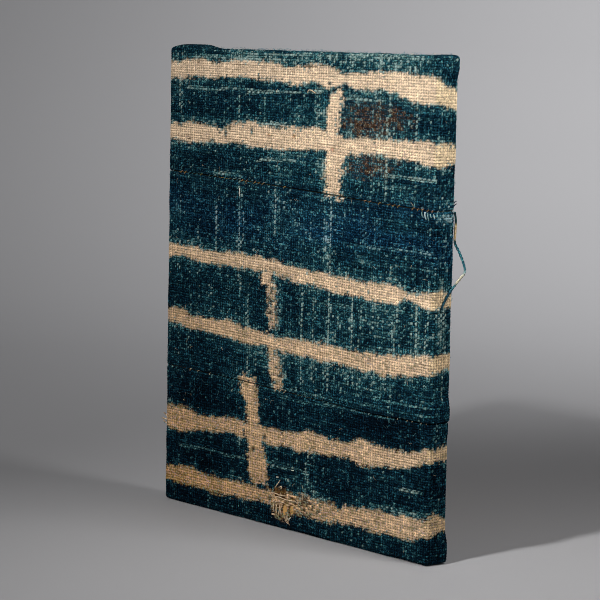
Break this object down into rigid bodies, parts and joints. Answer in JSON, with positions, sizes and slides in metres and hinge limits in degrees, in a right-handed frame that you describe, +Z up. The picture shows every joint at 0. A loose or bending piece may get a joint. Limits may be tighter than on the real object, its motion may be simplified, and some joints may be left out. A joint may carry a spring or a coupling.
{
  "type": "ndop cloth stretched over a board",
  "caption": "Indigo resist-dyed handwoven cloth of sewn strips, stretched and folded over a thin upright board.",
  "frame": {"origin": "middle of the lower edge on which the panel stands, at the centre of its width and thickness", "axes": "+X along the front from left to right, the front faces -Y, +Z up"},
  "size_m": [0.2129, 0.0178, 0.2587],
  "materials": {
    "board_wood": "plain sanded wood, honey coloured, unvarnished",
    "dyed_cloth": "coarse plain weave of handspun cotton, indigo with cream resist bands, matte",
    "dyed_yarn": "soft handspun cotton yarn, unevenly dyed, matte"
  },
  "bodies": {
    "root": {"board": "board_wood", "strip_top": "dyed_cloth", "strip_middle": "dyed_cloth", "strip_bottom": "dyed_cloth", "loose_yarn": "dyed_yarn"}
  },
  "joints": []
}
